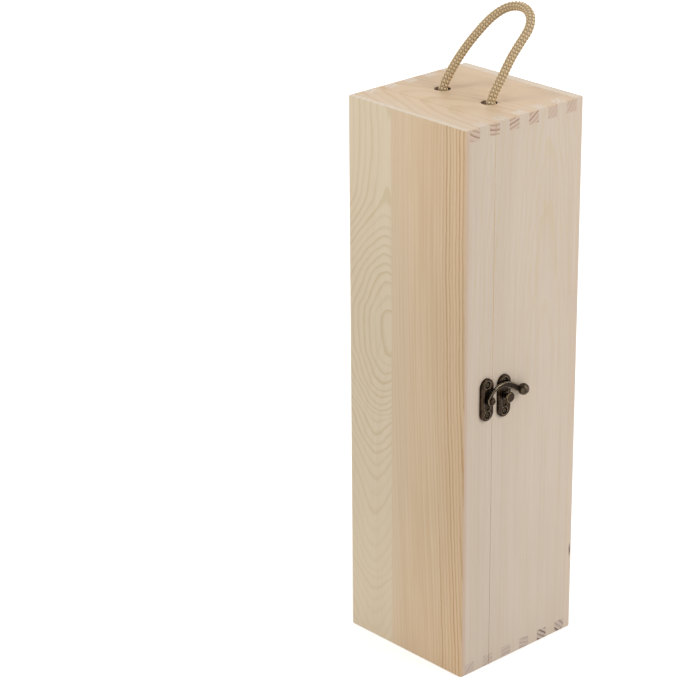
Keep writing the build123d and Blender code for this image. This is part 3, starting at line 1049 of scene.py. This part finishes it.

# %% [markdown]
# ## Aged bronze
#
# Little box fittings like these are brass, darkened in a bath and tumbled, so
# the dark stays in the hollows and comes off the edges. Two things are needed
# for that: where the edges are, and where the hollows are. The Bevel node gives
# the normal that a rounded edge would have, and the further it is from the true
# normal, the nearer we are to an edge. Ambient occlusion finds the hollows.
# Fingers have polished the latch's ball, so a second group draws a round
# polished spot. The same group draws a bright ring round the stud's rim, which
# is a painted highlight.

# %% Groups: aged metal, and a polished spot with painted highlight
GRIME = (14, 10, 8)
tree, given, result = new_group(
    "aged_metal",
    [
        ("Dark", (0, 0, 0, 1)),
        ("Brown", (0, 0, 0, 1)),
        ("Bare", (1, 1, 1, 1)),
        ("Edge Radius", 0.5),
        ("Wear", 0.6),
        ("Polish", 0.0),
        ("Rough", 0.2),
    ],
    ["Colour", "Metallic", "Roughness", "Height"],
)
bevel = tree.node("ShaderNodeBevel", samples=8)
tree.feed(bevel.inputs["Radius"], tree.times(given["Edge Radius"], MM))
flat = tree.node("ShaderNodeNewGeometry").outputs["Normal"]
alike = tree.vector_sum("DOT_PRODUCT", bevel.outputs[0], flat, output="Value")
edge = tree.smooth(alike, 0.995, 0.9)
hollow = tree.node("ShaderNodeAmbientOcclusion", {"Distance": 2.0 * MM}, samples=8)
grime = tree.smooth(hollow.outputs["AO"], 0.95, 0.45)
mottle = tree.noise(tree.millimetres(), detail=3, roughness=0.6, scale=0.45)
mottle = tree.smooth(mottle, 0.35, 0.68)
grain = tree.noise(tree.millimetres(), detail=3, roughness=0.7, scale=2.2)
patchy = tree.smooth(grain, 0.3, 0.6, 0.7, 1.0)
wear_and_sheen = tree.times(edge, tree.sum("SUBTRACT", 1.0, grime), patchy, given["Wear"])
# Polish and painted highlight both bare the metal.
polish_and_sheen = tree.times(given["Polish"], tree.smooth(mottle, 0.0, 1.0, 0.4, 1.5))
wear_and_sheen = tree.sum("MAXIMUM", wear_and_sheen, polish_and_sheen)
colour = tree.mix(mottle, given["Dark"], given["Brown"])
colour = tree.mix(wear_and_sheen, colour, given["Bare"])
tree.feed(result["Colour"], tree.mix(grime, colour, tone(*GRIME)))
tree.feed(result["Metallic"], tree.smooth(wear_and_sheen, 0.0, 0.5, 0.88, 1.0))
rough = tree.sum("MULTIPLY_ADD", grain, 0.2, given["Rough"])
tree.feed(result["Roughness"], tree.sum("MULTIPLY_ADD", grime, 0.3, rough))
tree.feed(result["Height"], grain)
print("group aged_metal:", len(tree.tree.nodes), "nodes")

tree, given, result = new_group(
    "rub_and_sheen_spot",
    [("Y", 0.0), ("Z", 0.0), ("Start", 4.0), ("Full", 3.0), ("Strength", 0.1)],
    ["Polish"],
)
place = tree.node("ShaderNodeSeparateXYZ", {0: tree.millimetres()}).outputs
aside, above = (tree.sum("SUBTRACT", place[axis], given[axis]) for axis in "YZ")
away = tree.vector_sum("LENGTH", tree.vector(0.0, aside, above), output="Value")
# With Start below Full this lights a ring round a rim: a painted highlight.
polish_and_sheen = tree.smooth(away, given["Start"], given["Full"], 0.0, given["Strength"])
tree.feed(result["Polish"], polish_and_sheen)
print("group rub_and_sheen_spot:", len(tree.tree.nodes), "nodes")

# %% [markdown]
# All fittings are the same bronze, but not equally worn. Nobody touches the
# plates, hinges and screws. The arm is handled each time, so it keeps darker
# hollows and brighter worn edges, their bare tone made nearly white as a painted
# highlight, and its ball is rubbed. The stud gets a bright ring round its rim,
# a painted highlight. The spots' places are in millimetres, on the latch side
# of the box.

# %% The bronze finishes
def bronze_finish(name, dark, brown, bare, wear, rough, edge=0.5, rub_and_sheen=None):
    """Aged bronze: dark, with brown clouds, and bare metal where it has worn.
    The last argument feeds the group that draws a polished spot on the ball and a
    painted highlight round the stud's rim."""
    material, tree, shader = new_material(name)
    polish_and_sheen = place_group(tree, "rub_and_sheen_spot", **rub_and_sheen)["Polish"] if rub_and_sheen else 0.0
    metal = place_group(
        tree,
        "aged_metal",
        Dark=tone(*dark),
        Brown=tone(*brown),
        Bare=tone(*bare),
        Edge_Radius=edge,
        Wear=wear,
        Polish=polish_and_sheen,
        Rough=rough,
    )
    tree.feed(shader["Base Color"], metal["Colour"])
    tree.feed(shader["Metallic"], metal["Metallic"])
    tree.feed(shader["Roughness"], metal["Roughness"])
    tree.feed(shader["Normal"], bump_normal(tree, metal["Height"], 0.3, 0.05))
    return material


bronze = bronze_finish(
    "aged_bronze", (33, 23, 14), (72, 53, 35), (205, 182, 150), wear=0.6, rough=0.2
)
# The arm's bare tone is nearly white: worn edges, brightened as a painted highlight.
arm_bronze = bronze_finish(
    "rubbed_bronze_edge_sheen", (18, 11, 6), (46, 29, 15), (246, 222, 186), wear=0.64, rough=0.2,
    edge=0.65, rub_and_sheen=dict(Y=-2.2, Z=180.0, Start=4.6, Full=3.6, Strength=0.07),
)
# Painted highlight: a bright ring round the stud's rim, with bright worn edges.
stud_bronze = bronze_finish(
    "worn_bronze_rim_sheen", (40, 28, 17), (64, 47, 30), (228, 204, 164), wear=1.0, rough=0.18,
    rub_and_sheen=dict(Y=-15.0, Z=178.9, Start=2.6, Full=3.2, Strength=0.22),
)
screw_bronze = bronze_finish(
    "screw_bronze", (28, 20, 14), (56, 43, 32), (150, 130, 104), wear=0.6, rough=0.28
)
finish_nodes(
    {
        bronze: (
            "latch_plate", "catch_plate", "latch_pivot_rivet",
            "upper_hinge_lid_leaf", "upper_hinge_body_leaf", "upper_hinge_pin",
            "lower_hinge_lid_leaf", "lower_hinge_body_leaf", "lower_hinge_pin",
        ),
        arm_bronze: ("latch_arm",),
        stud_bronze: ("catch_stud",),
        screw_bronze: (
            "latch_plate_screws", "catch_plate_screws", "hinge_lid_screws",
            "hinge_body_screws",
        ),
    }
)

# %% [markdown]
# ## Yarn
#
# The rope's yarns are bundles of fine, slightly glossy filaments. Filaments are
# a noise, stretched along the yarn and sheared a little, because a yarn is
# twisted. Out on the crowns the straw colour is pale, and down between the
# yarns and on the core it is painted dark brown, as painted shade.

# %% The rope's material
yarn, tree, shader = new_material("rope_yarn")
height = tree.node("ShaderNodeAttribute", attribute_name="yarn_height").outputs["Fac"]
number = tree.node("ShaderNodeAttribute", attribute_name="yarn_number").outputs["Fac"]
uv = tree.node("ShaderNodeUVMap", uv_map="yarn").outputs[0]
uv = tree.node("ShaderNodeSeparateXYZ", {0: uv}).outputs
turned = tree.sum("MULTIPLY_ADD", uv["Y"], 0.12, uv["X"])
place = tree.vector(
    tree.times(turned, 16.0), tree.times(uv["Y"], 0.5), tree.times(number, 40.0)
)
filament = tree.noise(place, detail=2, roughness=0.6)
# Painted shade: dark brown where a yarn dives under, and on the core.
crown_unshaded = tree.smooth(height, 0.45, 0.98)
colour = tree.mix(crown_unshaded, tone(80, 49, 17), tone(222, 196, 154))
shine = tree.sum("MULTIPLY_ADD", filament, 0.5, 0.75)
tree.feed(shader["Base Color"], brighten(tree, colour, shine))
shader["Roughness"].default_value = 0.42
tree.feed(shader["Normal"], bump_normal(tree, filament, 0.5, 0.08))
for piece in [rope, *knots]:
    piece.data.materials.append(yarn)
print("yarn on", 1 + len(knots), "pieces")

# %% [markdown]
# ## Floor, air and lamps
#
# The box stands on a wide white floor in white air. What the camera and mirrors
# see of both is plain white, while the light that they give is softer. The
# floor still takes the box's shadow, so its own glow is weaker near the box and
# comes up to full white further out, where the lamps don't reach. It lies a
# hair below the box's underside, so that the two faces don't fight.

# %% The floor
FLOOR_SIZE = 8
FLOOR_DROP = 0.02 * MM
FLOOR_PAINT = (0.86, 0.86, 0.86, 1)
WHITE = (1, 1, 1, 1)
GLOW_RISES = (600.0, 1600.0)
GLOW_NEAR, GLOW_FAR = 0.45, 0.65


def seen_directly(tree):
    """One for the camera, mirrors and glass; nought for light that only fills."""
    rays = tree.node("ShaderNodeLightPath").outputs
    mirrored = tree.sum("MAXIMUM", rays["Is Glossy Ray"], rays["Is Transmission Ray"])
    return tree.sum("MAXIMUM", rays["Is Camera Ray"], mirrored)


bpy.ops.mesh.primitive_plane_add(size=FLOOR_SIZE, location=(0, 0, -FLOOR_DROP))
floor = bpy.context.object
floor.name = "studio_floor"
material = bpy.data.materials.new("studio_white")
floor.data.materials.append(material)
tree = empty_tree(material)
diffuse = tree.node("ShaderNodeBsdfDiffuse", {"Color": FLOOR_PAINT})
away = tree.vector_sum("LENGTH", tree.millimetres(), output="Value")
lift = tree.smooth(away, *GLOW_RISES, GLOW_NEAR, GLOW_FAR)
lift = tree.times(seen_directly(tree), lift)
glow = tree.node("ShaderNodeEmission", {"Color": WHITE, "Strength": lift})
both = tree.node("ShaderNodeAddShader", {0: diffuse.outputs[0], 1: glow.outputs[0]})
tree.node("ShaderNodeOutputMaterial", {"Surface": both.outputs[0]})
print("floor:", FLOOR_SIZE, "m wide")

# %% [markdown]
# The air is the world's background: white where it is seen, and a soft light
# from all sides on the box, which keeps the hidden faces from going dark.

# %% The air
AIR_LIGHT = 0.58
scene.world = bpy.data.worlds.new("studio_air")
tree = empty_tree(scene.world)
strength = tree.smooth(seen_directly(tree), 0, 1, AIR_LIGHT, 1.0)
air = tree.node("ShaderNodeBackground", {"Color": WHITE, "Strength": strength})
tree.node("ShaderNodeOutputWorld", {"Surface": air.outputs[0]})
print("air gives", AIR_LIGHT, "of white")

# %% [markdown]
# Softboxes do the rest: one high on the right and a little behind, which
# brightens the latch side and the top, a smaller one in front of the lid, which
# draws the bright lines on the bronze, and a weak one behind for the faces that
# look away.

# %% The lamps
SOFTBOXES = {
    "key_softbox": {"place": (1.25, 0.55, 1.15), "size": 0.8, "watts": 9.8},
    "front_softbox": {"place": (-0.55, -1.35, 1.05), "size": 0.6, "watts": 7.5},
    "back_softbox": {"place": (-1.2, 1.3, 0.9), "size": 1.0, "watts": 4.5},
}
for name, box in SOFTBOXES.items():
    lamp = bpy.data.lights.new(name, "AREA")
    lamp.size = box["size"]
    lamp.energy = box["watts"]
    holder = bpy.data.objects.new(name, lamp)
    scene.collection.objects.link(holder)
    holder.location = box["place"]
    towards_box = Vector(box["place"]) - BOX_MIDDLE
    holder.rotation_mode = "QUATERNION"
    holder.rotation_quaternion = towards_box.to_track_quat("Z", "Y")
scene.view_settings.view_transform = "Standard"
print(len(SOFTBOXES), "softboxes")

# %% [markdown] ## The rope's facts
# The rope's whole length is printed where its line is drawn, and its diameter
# is given in the same cell; the rope is the box's one flexible piece.
